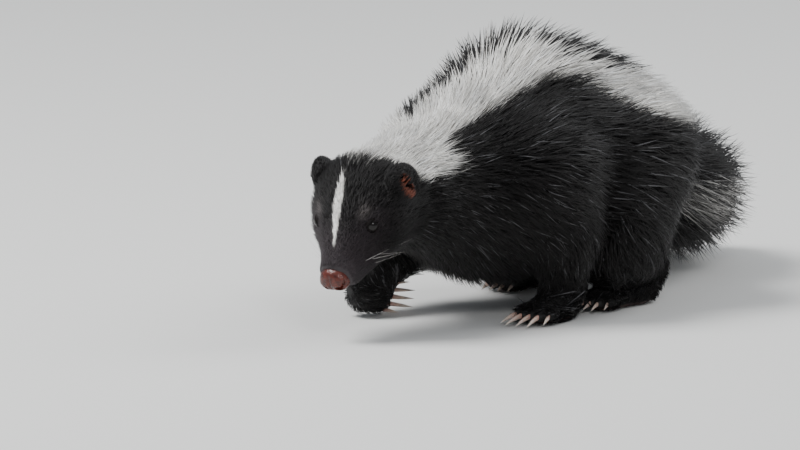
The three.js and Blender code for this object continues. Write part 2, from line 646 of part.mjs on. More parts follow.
const head = makeHead();
const random = randomFrom(7);
const trunkPlanes = [other(neckCut), other(tailCut)];
const onBack = { at: vec(0, 0, COAT_EDGE.belly - 0.5 * COAT_EDGE.fade), normal: vec(0, 0, 1) };
const trunkCore = bodyLength(coreShape, trunkBox, STEP.trunk, trunkPlanes);
const trunkRoots = rootsOn(coreShape, trunkBox, [...trunkPlanes, onBack], BODY_LOCK.apart, random);
const trunk = withLocks(trunkCore, trunkRoots, trunkLie, BODY_LOCK, random);
const trunkMade = largest(keepSide(trunk.made, neckCut.at, other(neckCut).normal));
const roomyHead = grown(head, ROOM);

place("head", head, black);
place("nose", makeNose(), noseRed);
for (const [name, side] of [["left", 1], ["right", -1]]) {
  place(`eye_${name}`, makeEye(side), eyeBlack);
  place(`ear_${name}`, makeEar(side, roomyHead), earSkin);
}
place("neck", bodyLength((x, y, z) => bodyShape(x, y, z), neckBox, STEP.neck, [other(headCut), neckCut]), white);
place("trunk", trunkMade, black);
let before = trunk;
for (const [name, planes] of [["tail_base", [tailCut, other(tailSplit)]], ["tail_tip", [tailSplit]]]) {
  const core = bodyLength(coreShape, tailBox, STEP.tail, planes);
  const roots = rootsOn(coreShape, tailBox, planes, TAIL_LOCK.apart, random);
  const length = withLocks(core, roots, tailLie, TAIL_LOCK, random);
  place(name, largest(length.made.subtract(before.room)), black);
  before = length;
}

// Each leg is cut clear of the trunk and of its own foot, and a plane parts the forelegs from the hind legs
const parting = vec(0, 30, 0);
for (const [name, foot] of Object.entries(FEET)) {
  const made = makeFoot(foot);
  const away = vec(0, name.startsWith("fore") ? -1 : 1, 0);
  place(name, made, black);
  place(foot.leg, keepSide(makeLeg(foot, [trunk.room, grown(made, 2 * ROOM)]), parting, away), black);
}

// The origin is the middle of the model's box, on the floor
const box = new THREE.Box3().setFromObject(skunk);
const centre = box.getCenter(vec(0, 0, 0));
skunk.children.forEach((mesh) => mesh.geometry.translate(-centre.x, -centre.y, -box.min.z));

export default skunk;
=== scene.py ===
# Striped skunk: the skin, coat, eyes, nose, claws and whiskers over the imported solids
import math
import bmesh
import bpy
import numpy as np
from mathutils import Matrix, Vector


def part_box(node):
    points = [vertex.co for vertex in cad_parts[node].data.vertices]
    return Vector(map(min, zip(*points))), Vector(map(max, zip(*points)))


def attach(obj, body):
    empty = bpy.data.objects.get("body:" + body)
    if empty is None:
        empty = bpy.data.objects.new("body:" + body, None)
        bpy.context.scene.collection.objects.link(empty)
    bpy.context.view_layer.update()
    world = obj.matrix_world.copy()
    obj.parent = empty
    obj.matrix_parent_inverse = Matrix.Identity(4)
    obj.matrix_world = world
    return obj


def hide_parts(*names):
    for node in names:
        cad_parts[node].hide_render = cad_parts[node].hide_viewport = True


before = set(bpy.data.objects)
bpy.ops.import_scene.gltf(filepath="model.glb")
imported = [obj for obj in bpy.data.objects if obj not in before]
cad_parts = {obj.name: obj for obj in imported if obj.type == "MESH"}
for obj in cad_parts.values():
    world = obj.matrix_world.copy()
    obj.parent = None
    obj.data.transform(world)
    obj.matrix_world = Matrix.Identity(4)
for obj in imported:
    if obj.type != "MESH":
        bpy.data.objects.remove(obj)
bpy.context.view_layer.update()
rng = np.random.default_rng(11)


def vec(*numbers):
    return np.array(numbers, float)


def unit(v):
    return v / np.maximum(np.linalg.norm(v, axis=-1, keepdims=True), 1e-9)


# Driving sizes in millimetres: z = 0 is the floor, the head faces -Y and the left side is +X
YAW, PITCH, ROLL = np.radians([3, 49, 2])
NOSE_TIP = vec(-7, -133, 31)
# In the head's own axes: left, forward, up (EYE_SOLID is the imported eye's place, EYE_AT the seen eye's)
NOSE_IN_HEAD = vec(0, 49, -6)
EYE_SOLID, EYE_AT, EYE_RADIUS = vec(17.4, 16.4, 5.4), vec(17.7, 13.6, 5.6), 4.3
EYE_HOLLOW, EYE_REACH, BALL_RADIUS = 2.6, 9, 3.9
EAR_AT, EAR_RADII = vec(26, -13.5, 7), vec(9.5, 12, 5.5)
EAR_CUP_AT, EAR_CUP, EAR_FACES = vec(0, -0.5, 3.2), vec(3.4, 8.4, 4.6), vec(1, 0.35, 0.05)
NOSE_AT, NOSE_RADII = vec(0, 43, -5.2), vec(8.6, 6.6, 7.2)
MOUTH_HEIGHT, MOUTH_CORNER, MOUTH_RISE = -13.2, 17, 3
MOUTH_FRONT, MOUTH_DEPTH, MOUTH_WIDTH = 38, 2.2, 0.9
BROW_AT, BROW_RADII, BROW_HEIGHT = vec(14.5, 9.5, 12.5), vec(3.5, 5, 2), 0.9
GAZE, EYE_LINE = vec(0.72, 0.5, 0.42), vec(-0.42, 0.86, -0.2)
SOCKET_GAP, NOSE_OVERLAP, SKIN_OFF_FLOOR = 0.25, 1.2, 0.3
# Depth of the short coats, and how widely the forms blend into each other
HEAD_FUR, EAR_FUR, FOOT_FUR = 4.5, 1.6, 2.6
TRUNK_BLEND, NECK_BLEND, HEAD_BLEND, TAIL_BLEND = 22, 25, 10, 18
LEG_BLEND, JOINT_BLEND, EAR_BLEND, FOOT_BLEND = 14, 8, 2.5, 3

# Trunk: outline centre, outline radii, depth of the coat, and how far the skin sits lower
TRUNK = [
    (vec(-3, 6, 74), vec(58, 52, 58), vec(17, 14, 20), 6),
    (vec(-9, 46, 88), vec(66, 58, 71), vec(21, 20, 24), 8),
    (vec(-2, 80, 78), vec(57, 41, 60), vec(22, 22, 24), 8),
]
NECK_FRONT, NECK_REAR = vec(0, -10, -4), vec(-4, -14, 76)
NECK_SKIN, NECK_COAT = (20, 36), (8, 12)

# Tail and legs: joints, radius of the flesh, depth of the coat
TAIL = [
    (vec(-1, 106, 80), 8, 15),
    (vec(-1, 135, 66), 7.5, 23),
    (vec(-4, 168, 53), 7, 27),
    (vec(-18, 200, 45), 6, 27),
    (vec(-40, 225, 34), 5, 22),
    (vec(-62, 236, 20), 3, 13),
]
LEGS = {
    "fore_left": [
        (vec(34, 6, 82), 24, 12), (vec(44, 11, 48), 13, 8),
        (vec(42, 12, 18), 8.5, 4.5), (vec(42, 6, 9), 8, 1),
    ],
    "fore_right": [
        (vec(-38, -4, 80), 24, 12), (vec(-46, -4, 46), 13, 8),
        (vec(-50, -46, 21), 8.5, 3.5), (vec(-50, -50, 14), 8, 1),
    ],
    "hind_left": [
        (vec(34, 76, 76), 30, 14), (vec(45, 58, 42), 19, 11),
        (vec(42, 86, 19), 9, 5), (vec(41, 78, 9), 8, 1),
    ],
    "hind_right": [
        (vec(-36, 84, 76), 30, 14), (vec(-46, 74, 42), 19, 11),
        (vec(-42, 108, 19), 9, 5), (vec(-41, 100, 9), 8, 1),
    ],
}
FORE_TOE = dict(spread=4.1, fan=0.11, length=13, radius=3.2, claw=15, claw_radius=1.45)
FOLDED_TOE = dict(spread=3.4, fan=0.05, length=8, radius=2.8, claw=19, claw_radius=1.8)
HIND_TOE = dict(spread=3.8, fan=0.09, length=12, radius=3.1, claw=8.5, claw_radius=1.3)
FEET = {
    "fore_left": dict(heel=vec(42, 8, 8.5), ball=vec(42, -7, 6), radii=(8.5, 7), toe=FORE_TOE,
                      forward=vec(0.08, -1, -0.02), back=vec(0, 0, 1), first=-1),
    "fore_right": dict(heel=vec(-50, -49, 12), ball=vec(-47.5, -43, 11.5), radii=(7.5, 7), toe=FOLDED_TOE,
                       forward=vec(0.42, 0.86, -0.16), back=vec(0.9, -0.44, 0.05), first=1),
    "hind_left": dict(heel=vec(42, 84, 8.5), ball=vec(41, 50, 6), radii=(8.5, 7.5), toe=HIND_TOE,
                      forward=vec(0.02, -1, -0.02), back=vec(0, 0, 1), first=-1),
    "hind_right": dict(heel=vec(-42, 106, 8.5), ball=vec(-41, 72, 6), radii=(8.5, 7.5), toe=HIND_TOE,
                       forward=vec(-0.02, -1, -0.02), back=vec(0, 0, 1), first=1),
}

# Head axes: left, forward and up
forward = vec(math.sin(YAW) * math.cos(PITCH), -math.cos(YAW) * math.cos(PITCH), -math.sin(PITCH))
level = vec(math.cos(YAW), math.sin(YAW), 0)
upright = unit(np.cross(forward, level))
HEAD_AXES = np.stack([
    level * math.cos(ROLL) + upright * math.sin(ROLL),
    forward,
    -level * math.sin(ROLL) + upright * math.cos(ROLL),
], 1)
HEAD_ORIGIN = NOSE_TIP - HEAD_AXES @ NOSE_IN_HEAD


def to_head(p):
    return (p - HEAD_ORIGIN) @ HEAD_AXES


def from_head(q):
    return HEAD_ORIGIN + q @ HEAD_AXES.T


def mirrored(q):
    return np.stack([np.abs(q[..., 0]), q[..., 1], q[..., 2]], -1)


# Distances to simple forms

def ellipsoid(p, centre, radii):
    q = (p - centre) / radii
    k0 = np.sqrt((q * q).sum(-1))
    q = q / radii
    k1 = np.sqrt((q * q).sum(-1))
    return k0 * (k0 - 1) / np.maximum(k1, 1e-9)


def round_cone(p, a, b, ra, rb):
    along = b - a
    t = np.clip((p - a) @ along / (along @ along), 0, 1)
    off = p - a - t[..., None] * along
    return np.sqrt((off * off).sum(-1)) - (ra + (rb - ra) * t)


def blend(a, b, k):
    h = np.clip(0.5 + 0.5 * (b - a) / k, 0, 1)
    return b + (a - b) * h - k * h * (1 - h)


def limb(p, joints, coat):
    made = None
    for (a, flesh_a, coat_a), (b, flesh_b, coat_b) in zip(joints, joints[1:]):
        d = cone_with_coat(p, a, b, flesh_a, coat_a, flesh_b, coat_b, coat)
        made = d if made is None else blend(made, d, JOINT_BLEND)
    return made


def cone_with_coat(p, a, b, flesh_a, coat_a, flesh_b, coat_b, coat):
    return round_cone(p, a, b, flesh_a + coat_a * coat, flesh_b + coat_b * coat)


def head_shape(p, coat):
    q = to_head(p)
    m = mirrored(q)
    fur = HEAD_FUR * coat
    # Skull, cheeks, snout and jaw
    d = ellipsoid(q, vec(0, -4, -2), grow(vec(22, 22, 16.5), fur))
    d = blend(d, ellipsoid(m, vec(14.5, 3, -6), grow(vec(12, 17, 13), fur)), 12)
    d = blend(d, cone_with_coat(q, vec(0, 12, -1), vec(0, 35, -5), 15, 2, 10, 0.8, coat), 12)
    d = blend(d, cone_with_coat(q, vec(0, 2, -14), vec(0, 33, -13), 10, 3, 5.6, 0.8, coat), 8)
    # Lips, jowls and the sides of the crown
    d = blend(d, ellipsoid(m, vec(6, 35, -8), vec(7.2, 8.6, 6.6)), 5)
    d = blend(d, ellipsoid(m, vec(8.5, 20, -9), grow(vec(7.5, 13, 7.5), 0.35 * fur)), 6)
    d = blend(d, ellipsoid(m, vec(13, -10, 4), grow(vec(11, 12, 8.5), 0.8 * fur)), 8)
    from_eye = ((m - EYE_AT) ** 2).sum(-1) / EYE_REACH ** 2
    return d + EYE_HOLLOW * np.exp(-from_eye)


def grow(radii, by):
    by = np.asarray(by, float)
    return radii + by[..., None] if by.ndim else radii + by


def trunk_shape(p, coat):
    made = None
    less = 1 - np.asarray(coat, float)
    for centre, radii, depth, lift in TRUNK:
        drop = less[..., None] * vec(0, 0, lift) if less.ndim else less * vec(0, 0, lift)
        thinner = less[..., None] * depth if less.ndim else less * depth
        d = ellipsoid(p, centre - drop, radii - thinner)
        made = d if made is None else blend(made, d, TRUNK_BLEND)
    return made


def neck_shape(p, coat):
    return cone_with_coat(p, from_head(NECK_FRONT), NECK_REAR, NECK_SKIN[0], NECK_COAT[0],
                          NECK_SKIN[1], NECK_COAT[1], coat)


def toe_points(foot, row):
    toe = foot["toe"]
    ahead = unit(foot["forward"])
    up = unit(foot["back"] - ahead * (foot["back"] @ ahead))
    across = unit(np.cross(ahead, up))
    first = 1 if row * foot["first"] > 1 else 0
    outer = 1 if abs(row) > 1 else 0
    way = unit(ahead + across * row * toe["fan"])
    root = foot["ball"] + across * row * toe["spread"]
    reach = toe["length"] * (1 - 0.16 * outer - 0.14 * first)
    claw = toe["claw"] * (1 - 0.14 * outer - 0.18 * first)
    return root, way, up, reach, claw


def foot_shape(p, name):
    foot = FEET[name]
    d = round_cone(p, foot["heel"], foot["ball"], *foot["radii"])
    d = blend(d, limb(p, LEGS[name][2:], np.float64(0.6)), 6)
    toes = None
    for row in range(-2, 3):
        root, way, up, reach, _ = toe_points(foot, row)
        end = root + way * (reach - 1.5) - up * 0.6
        radius = foot["toe"]["radius"]
        toe = round_cone(p, root, end, radius, radius * 0.78)
        toes = toe if toes is None else blend(toes, toe, 1.2)
    return blend(d, toes, 2.5)


def ear_frame():
    faces = unit(EAR_FACES)
    lift = vec(0, -0.25, 1)
    lift = unit(lift - faces * (lift @ faces))
    return np.stack([np.cross(lift, faces), lift, faces], 1)


EAR_AXES = ear_frame()


def ear_shape(p):
    q = (mirrored(to_head(p)) - EAR_AT) @ EAR_AXES
    outer = ellipsoid(q, vec(0, 0, 0), EAR_RADII)
    hollow = ellipsoid(q, EAR_CUP_AT, EAR_CUP)
    return np.maximum(outer, -hollow)


def coat_shape(p, coat):
    d = blend(trunk_shape(p, coat), neck_shape(p, coat), NECK_BLEND)
    for joints in LEGS.values():
        d = blend(d, limb(p, joints[:3], coat), LEG_BLEND)
    d = blend(d, limb(p, TAIL, coat), TAIL_BLEND)
    return blend(d, head_shape(p, coat), HEAD_BLEND)


def fur_shape(p, coat):
    d = coat_shape(p, coat)
    ear = (mirrored(to_head(p)) - EAR_AT) @ EAR_AXES
    d = blend(d, ellipsoid(ear, vec(0, 0, 0), EAR_RADII) - EAR_FUR * coat, EAR_BLEND)
    for name in FEET:
        d = blend(d, foot_shape(p, name) - FOOT_FUR * coat, FOOT_BLEND)
    return d


def mouth_groove(q):
    rise = MOUTH_HEIGHT + MOUTH_RISE * ((q[..., 1] - MOUTH_FRONT) / (MOUTH_CORNER - MOUTH_FRONT)) ** 2
    side = np.clip((q[..., 1] - MOUTH_CORNER) / 3, 0, 1)
    return MOUTH_DEPTH * side * np.exp(-((q[..., 2] - rise) / MOUTH_WIDTH) ** 2)


def skin_shape(p):
    d = coat_shape(p, np.float64(0))
    d = blend(d, ear_shape(p), EAR_BLEND)
    for name in FEET:
        d = blend(d, foot_shape(p, name), FOOT_BLEND)
    q = to_head(p)
    m = mirrored(q)
    d = d + mouth_groove(q)
    brow = np.exp(-((m - BROW_AT) ** 2 / BROW_RADII ** 2).sum(-1))
    d = d - BROW_HEIGHT * brow
    socket = EYE_RADIUS + SOCKET_GAP - np.sqrt(((m - EYE_AT) ** 2).sum(-1))
    d = np.maximum(d, socket)
    nose_room = ellipsoid(q, NOSE_AT, NOSE_RADII - NOSE_OVERLAP)
    d = np.maximum(d, -nose_room)
    return np.maximum(d, SKIN_OFF_FLOOR - p[..., 2])


def slope(shape, p, h=0.3):
    g = np.empty_like(p)
    for axis in range(3):
        step = np.zeros(3)
        step[axis] = h
        g[:, axis] = (shape(p + step) - shape(p - step)) / (2 * h)
    return g


def settle(shape, p, rounds=3, most=1.5):
    for _ in range(rounds):
        g = slope(shape, p)
        move = -shape(p)[:, None] * g / np.maximum((g * g).sum(-1, keepdims=True), 0.05)
        size = np.linalg.norm(move, axis=1, keepdims=True)
        p = p + move * np.minimum(1, most / np.maximum(size, 1e-9))
    return p


# A surface of quads where a shape is zero, by one vertex in each crossed cell
CORNERS = np.array([[c & 1, c >> 1 & 1, c >> 2 & 1] for c in range(8)])
EDGES = [(a, a | bit) for a in range(8) for bit in (1, 2, 4) if not a & bit]


def surface(shape, low, high, step):
    count = np.ceil((high - low) / step).astype(int) + 1
    axes = [low[i] + step * np.arange(count[i]) for i in range(3)]
    value = np.empty(count)
    for i, x in enumerate(axes[0]):
        yy, zz = np.meshgrid(axes[1], axes[2], indexing="ij")
        points = np.stack([np.full_like(yy, x), yy, zz], -1)
        value[i] = shape(points.reshape(-1, 3)).reshape(yy.shape)
    inside = value < 0
    cells = count - 1
    total = np.zeros(cells, int)
    for c in CORNERS:
        total += inside[c[0]:c[0] + cells[0], c[1]:c[1] + cells[1], c[2]:c[2] + cells[2]]
    cell = np.argwhere((total > 0) & (total < 8))
    number = np.full(cells, -1)
    number[tuple(cell.T)] = np.arange(len(cell))
    mean = np.zeros((len(cell), 3))
    crossings = np.zeros(len(cell))
    for a, b in EDGES:
        va = value[tuple((cell + CORNERS[a]).T)]
        vb = value[tuple((cell + CORNERS[b]).T)]
        crossed = (va < 0) != (vb < 0)
        t = np.where(crossed, va / np.where(crossed, va - vb, 1), 0)
        at = CORNERS[a] + t[:, None] * (CORNERS[b] - CORNERS[a])
        mean[crossed] += at[crossed]
        crossings += crossed
    points = low + step * (cell + mean / crossings[:, None])
    quads = []
    around = {0: [(0, -1, -1), (0, 0, -1), (0, 0, 0), (0, -1, 0)],
              1: [(-1, 0, -1), (-1, 0, 0), (0, 0, 0), (0, 0, -1)],
              2: [(-1, -1, 0), (0, -1, 0), (0, 0, 0), (-1, 0, 0)]}
    for axis in range(3):
        shift = np.eye(3, dtype=int)[axis]
        stop = count - shift
        a = inside[:stop[0], :stop[1], :stop[2]]
        b = inside[shift[0]:, shift[1]:, shift[2]:]
        edge = np.argwhere(a != b)
        edge = edge[((edge > 0) | (shift > 0)).all(1) & (edge < cells).all(1)]
        out = a[tuple(edge.T)]
        ring = np.stack([number[tuple((edge + d).T)] for d in around[axis]], 1)
        quads.append(np.where(out[:, None], ring, ring[:, ::-1]))
    return points, np.concatenate(quads)


# Meshes, and their colours point by point

eye_low, eye_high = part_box("eye_left")
SHIFT = (vec(*eye_low) + vec(*eye_high)) * 500 - from_head(EYE_SOLID)


def metres(p):
    return (p + SHIFT) / 1000


def mesh_piece(name, points, faces):
    mesh = bpy.data.meshes.new(name)
    mesh.from_pydata(metres(points).tolist(), [], [list(map(int, f)) for f in faces])
    mesh.validate()
    mesh.polygons.foreach_set("use_smooth", [True] * len(mesh.polygons))
    piece = bpy.data.objects.new(name, mesh)
    bpy.context.collection.objects.link(piece)
    return piece


def paint(piece, colours):
    layer = piece.data.color_attributes.new("Marking", "FLOAT_COLOR", "POINT")
    rgba = np.ones((len(colours), 4))
    rgba[:, :3] = colours
    layer.data.foreach_set("color", rgba.ravel())


# Markings: colours by place on the body

BLACK = vec(0.010, 0.009, 0.009)
WHITE = vec(0.88, 0.86, 0.82)
# Face fur around the eyes and on the muzzle: partly the short fur's own tone, partly painted sheen
FACE_GREY_AND_SHEEN = vec(0.052, 0.041, 0.046)
BROW_GREY = vec(0.30, 0.27, 0.26)
PINK = vec(0.30, 0.085, 0.05)
SOLE = vec(0.10, 0.06, 0.055)
# Black band on the back and the left stripe's two edges: degrees from the top, at places along Y
ALONG = [-66, -50, -33, -16, 4, 15, 27, 34, 40, 47, 58, 66, 78, 110]
MIDLINE = [-12, -17, -26, -34, -27, -22, -16, -12, -8, -4, 2, 4, 6, 0]
INNER = [-12, -17, -26, -23, -17, -9, -4, -2, 1, 11, 20, 22, 25, 25]
OUTER = [34, 19, 20, 21, 21, 21, 22, 25, 28, 32, 38, 46, 57, 60]
RIGHT_SPREAD = 40
STRIPE_AXIS = vec(-5, 0, 60)
# Ranges over which the white fades, along Y or in degrees from the nape's middle
STRIPE_START, STRIPE_END = (-62, -50), (112, 122)
NAPE_MIDDLE, NAPE_HALF, NAPE_REAR = -8, (50, 55), (-60, -50)
# In the head's axes: the nape's front edge, then the blaze's middle line, ends and half width
NAPE_FRONT = (24, 27)
BLAZE_ALONG, BLAZE_MIDDLE = [-9, -2.5, 6, 14, 36], [-3.2, -1.8, -0.6, 0.2, 0.9]
BLAZE_REAR, BLAZE_FRONT, BLAZE_HALF = (-11, -8), (28, 32), 2.2
BROW_MARK_AT, BROW_MARK_RADII = vec(14.5, 9, 13), vec(3, 4.5, 2.6)


def smoothstep(x, low, high):
    t = np.clip((x - low) / (high - low), 0, 1)
    return t * t * (3 - 2 * t)


def whiteness(p, noise):
    angle = np.degrees(np.arctan2(p[:, 0] - STRIPE_AXIS[0], p[:, 2] - STRIPE_AXIS[2]))
    mid = np.interp(p[:, 1], ALONG, MIDLINE)
    inner = np.interp(p[:, 1], ALONG, INNER) - mid
    outer = np.interp(p[:, 1], ALONG, OUTER) - mid
    outer = np.where(angle < mid, np.minimum(outer, RIGHT_SPREAD), outer)
    off = np.abs(angle - mid) + 3 * noise
    stripe = smoothstep(off, inner - 2, inner + 2) * (1 - smoothstep(off, outer - 2.5, outer + 2.5))
    start = smoothstep(p[:, 1], *STRIPE_START)
    end = 1 - smoothstep(p[:, 1] + 6 * noise, *STRIPE_END)
    stripe = stripe * start * end
    q = to_head(p)
    nape = 1 - smoothstep(np.abs(angle - NAPE_MIDDLE) + 5 * noise, *NAPE_HALF)
    nape = nape * smoothstep(-q[:, 1] + 1.5 * noise, *NAPE_FRONT)
    nape = nape * (1 - smoothstep(p[:, 1] + 3 * noise, *NAPE_REAR))
    middle = np.interp(q[:, 1], BLAZE_ALONG, BLAZE_MIDDLE)
    half = BLAZE_HALF * smoothstep(q[:, 1], -12, 2) * (1 - smoothstep(q[:, 1], 10, 33)) + 0.2
    blaze = 1 - smoothstep(np.abs(q[:, 0] - middle + 0.4 * noise), half, half + 0.8)
    blaze = blaze * (q[:, 2] > 0) * smoothstep(q[:, 1], *BLAZE_REAR)
    blaze = blaze * (1 - smoothstep(q[:, 1], *BLAZE_FRONT))
    return np.clip(stripe + nape + blaze, 0, 1)


def tail_place(p):
    best = np.full(len(p), np.inf)
    along = np.zeros(len(p))
    way = np.zeros((len(p), 3))
    radial = np.zeros((len(p), 3))
    for i, ((a, _, _), (b, _, _)) in enumerate(zip(TAIL, TAIL[1:])):
        bone = b - a
        t = np.clip((p - a) @ bone / (bone @ bone), 0, 1)
        off = p - a - t[:, None] * bone
        d = np.linalg.norm(off, axis=1)
        nearer = d < best
        best[nearer] = d[nearer]
        along[nearer] = i + t[nearer]
        way[nearer] = unit(bone)
        radial[nearer] = off[nearer]
    return along / (len(TAIL) - 1), way, radial


REGIONS = ["body", "head", "tail", "fore_left", "fore_right", "hind_left", "hind_right"]
ON_BODY, ON_HEAD, ON_TAIL, ON_LEGS = 0, 1, 2, 3


def region_of(p):
    coat = np.float64(0)
    body = blend(trunk_shape(p, coat), neck_shape(p, coat), NECK_BLEND)
    d = [body, head_shape(p, coat), limb(p, TAIL, coat)]
    for name in REGIONS[ON_LEGS:]:
        d.append(np.minimum(limb(p, LEGS[name][1:3], coat), foot_shape(p, name)))
    return np.stack(d, 1)


def colours_at(p, distances, noise):
    region = distances.argmin(1)
    white = whiteness(p, noise)
    along, _, radial = tail_place(p)
    around_tail = np.arctan2(radial[:, 0], radial[:, 2])
    streak = 0.5 + 0.5 * np.sin(3.1 * around_tail + 5 * along) + 0.5 * noise
    grey = 0.55 * smoothstep(streak, 0.75, 1.25) * smoothstep(along, 0.02, 0.2)
    white = np.where(region == ON_TAIL, grey, white)
    q = mirrored(to_head(p))
    around_eye = np.exp(-((q - EYE_AT) ** 2).sum(-1) / 9.5 ** 2)
    muzzle = smoothstep(q[:, 1], 14, 34)
    brow = np.exp(-((q - BROW_MARK_AT) ** 2 / BROW_MARK_RADII ** 2).sum(-1))
    # Greyer face fur around the eyes and on the muzzle, partly painted sheen
    face = np.clip(0.75 * around_eye + 0.8 * muzzle, 0, 1)[:, None] * (region == ON_HEAD)[:, None]
    colour = BLACK * (1 - face) + FACE_GREY_AND_SHEEN * face
    colour = colour * (1 - 0.45 * brow[:, None]) + BROW_GREY * 0.45 * brow[:, None]
    ear = (q - EAR_AT) @ EAR_AXES
    in_ear = 1 - smoothstep(ellipsoid(ear, EAR_CUP_AT, EAR_CUP), 0, 0.8)
    colour = colour * (1 - in_ear[:, None]) + PINK * 0.7 * in_ear[:, None]
    return colour * (1 - white[:, None]) + WHITE * white[:, None], white


# Skin

SKIN_STEP = 2.4


def make_skin():
    low, high = vec(-76, -142, -2), vec(66, 244, 152)
    points, quads = surface(skin_shape, low, high, SKIN_STEP)
    points = settle(skin_shape, points)
    points, faces = refine(points, quads)
    points = settle(skin_shape, points, 4, 0.8)
    return points, faces


def refine(points, quads):
    made = bmesh.new()
    corners = [made.verts.new(p) for p in points]
    for q in quads:
        if len(set(q)) == 4:
            made.faces.new([corners[i] for i in q])
    # Finer over the face, then over the feet
    q = to_head(points)
    near = (q[:, 1] > -22) & (np.abs(q[:, 0]) < 45) & (q[:, 2] > -32) & (points[:, 1] < -75)
    near |= (points[:, 2] < 24) & (np.abs(points[:, 0]) > 26)
    made.verts.ensure_lookup_table()
    made.verts.index_update()
    edges = [e for e in made.edges if near[e.verts[0].index] and near[e.verts[1].index]]
    bmesh.ops.subdivide_edges(made, edges=edges, cuts=1, use_grid_fill=True)
    bmesh.ops.triangulate(made, faces=made.faces[:])
    made.verts.index_update()
    found = np.array([v.co[:] for v in made.verts])
    faces = [[v.index for v in f.verts] for f in made.faces]
    made.free()
    return found, np.array(faces)


skin_points, skin_faces = make_skin()
skin_distances = region_of(skin_points)
skin_noise = rng.normal(0, 0.3, len(skin_points))
skin_colours, skin_white = colours_at(skin_points, skin_distances, skin_noise)
skin = mesh_piece("skin", skin_points, skin_faces)
under = skin_colours * (0.75 + 0.25 * skin_white[:, None])
soles = (1 - smoothstep(skin_points[:, 2], 1.2, 3.2))[:, None]
paint(skin, under * (1 - soles) + SOLE * soles)


# Coat

# Tufts on each part, triangles in a piece, and the height under which the coat of the legs is short
BODY_TUFTS, TAIL_TUFTS, HEAD_TUFTS, FOOT_TUFTS = 56000, 11000, 30000, 10000
PIECE_TRIANGLES = 190000
SHORT_BELOW = 24
# Share of the dark tufts that are made greyer as painted sheen, and by how much
SHEEN_FLECKS, SHEEN_FLECK_COLOUR = 0.05, vec(0.09, 0.09, 0.095)
# Rump: how far its hair stands past the outline, over which stretch of Y and on which slopes
RUMP_LIFT, RUMP_ALONG, RUMP_FACING = 0.5, (30, 72), (0.25, 0.8)
# A tuft: its three edges in shares of a turn, its flatness, and its place's size in the bake
TUFT_CORNERS, TUFT_FLATNESS = (0.25, 0.5833, 0.9167), 0.45
PATCH_WIDTH, PATCH_LENGTH = 0.0013, 0.003


def outward(p):
    """The way out of the bare skin."""
    return unit(slope(lambda x: fur_shape(x, np.float64(0)), p))


def lie_at(p, distances):
    """The way the hair lies, blended between the regions."""
    weight = np.exp(-np.maximum(distances - distances.min(1, keepdims=True), 0) / 5)
    weight /= weight.sum(1, keepdims=True)
    q = to_head(p)
    side = np.sign(q[:, 0])
    body = np.tile(vec(0, 1, -0.28), (len(p), 1))
    body[:, 0] += 0.12 * np.sign(p[:, 0]) * smoothstep(np.abs(p[:, 0]), 5, 40)
    sideways = 0.25 * side * smoothstep(np.abs(q[:, 0]), 1, 15)
    upward = 0.1 - 0.3 * smoothstep(-q[:, 2], 0, 15)
    head = np.stack([sideways, -np.ones(len(p)), upward], 1) @ HEAD_AXES.T
    _, way, _ = tail_place(p)
    legs = np.tile(vec(0, 0.25, -1), (len(p), 1))
    lie = weight[:, :1] * body + weight[:, 1:2] * head + weight[:, 2:3] * way
    for i, name in enumerate(REGIONS[ON_LEGS:]):
        foot = FEET[name]
        on_foot = (1 - smoothstep(p[:, 2], 14, 26))[:, None]
        leg = legs * (1 - on_foot) + unit(foot["forward"]) * on_foot
        lie = lie + weight[:, ON_LEGS + i][:, None] * leg
    return unit(lie)


def coat_depth(p):
    """How deep the coat is at a place, in millimetres."""
    out = outward(p)
    depth = np.zeros(len(p))
    for _ in range(8):
        depth += np.maximum(-fur_shape(p + out * depth[:, None], np.float64(1)), 0)
    return np.clip(depth, 0.8, 40)


def triangles_area(points, faces):
    a, b, c = (points[faces[:, i]] for i in range(3))
    return 0.5 * np.linalg.norm(np.cross(b - a, c - a), axis=1)


def scatter(count, density):
    area = triangles_area(skin_points, skin_faces) * density
    pick = rng.choice(len(skin_faces), count, p=area / area.sum())
    r1, r2 = np.sqrt(rng.random(count)), rng.random(count)
    a, b, c = (skin_points[skin_faces[pick, i]] for i in range(3))
    return a * (1 - r1)[:, None] + b * (r1 * (1 - r2))[:, None] + c * (r1 * r2)[:, None]


def grow_tufts(p, segments, length_of, stand, width_of, tip_low, tip_high):
    """Paths of tufts from their roots along the lie of the coat, out to its outline."""
    distances = region_of(p)
    region = distances.argmin(1)
    depth = coat_depth(p)
    length = length_of(depth, region) * rng.uniform(0.8, 1.2, len(p))
    tip = rng.uniform(tip_low, tip_high, len(p))
    root_out = outward(p)
    rump = smoothstep(p[:, 1], *RUMP_ALONG) * smoothstep(root_out[:, 2], *RUMP_FACING)
    rump = rump * (region == ON_BODY)
    tip += RUMP_LIFT * rump
    lean = rng.normal(0, 0.2, len(p))
    paths = [p - 0.8 * root_out]
    at = p.copy()
    acrosses = []
    for r in range(1, segments + 1):
        share = tip * (r / segments) ** stand
        shape = lambda x: fur_shape(x, share)
        out = unit(slope(shape, at))
        lie = lie_at(at, distances)
        way = lie - out * (lie * out).sum(1, keepdims=True)
        way = unit(way + 1e-3)
        across = np.cross(way, out)
        if r == 1:
            acrosses.append(across)
        acrosses.append(across)
        way = unit(way + across * lean[:, None])
        at = at + way * (length / segments)[:, None]
        off = shape(at)
        out = unit(slope(shape, at))
        at = at + out * np.where(off < 0, -off, -np.minimum(off, 0.5 * length / segments))[:, None]
        at[:, 2] = np.maximum(at[:, 2], 0.8)
        paths.append(at.copy())
    return np.stack(paths, 1), np.stack(acrosses, 1), width_of(depth), distances


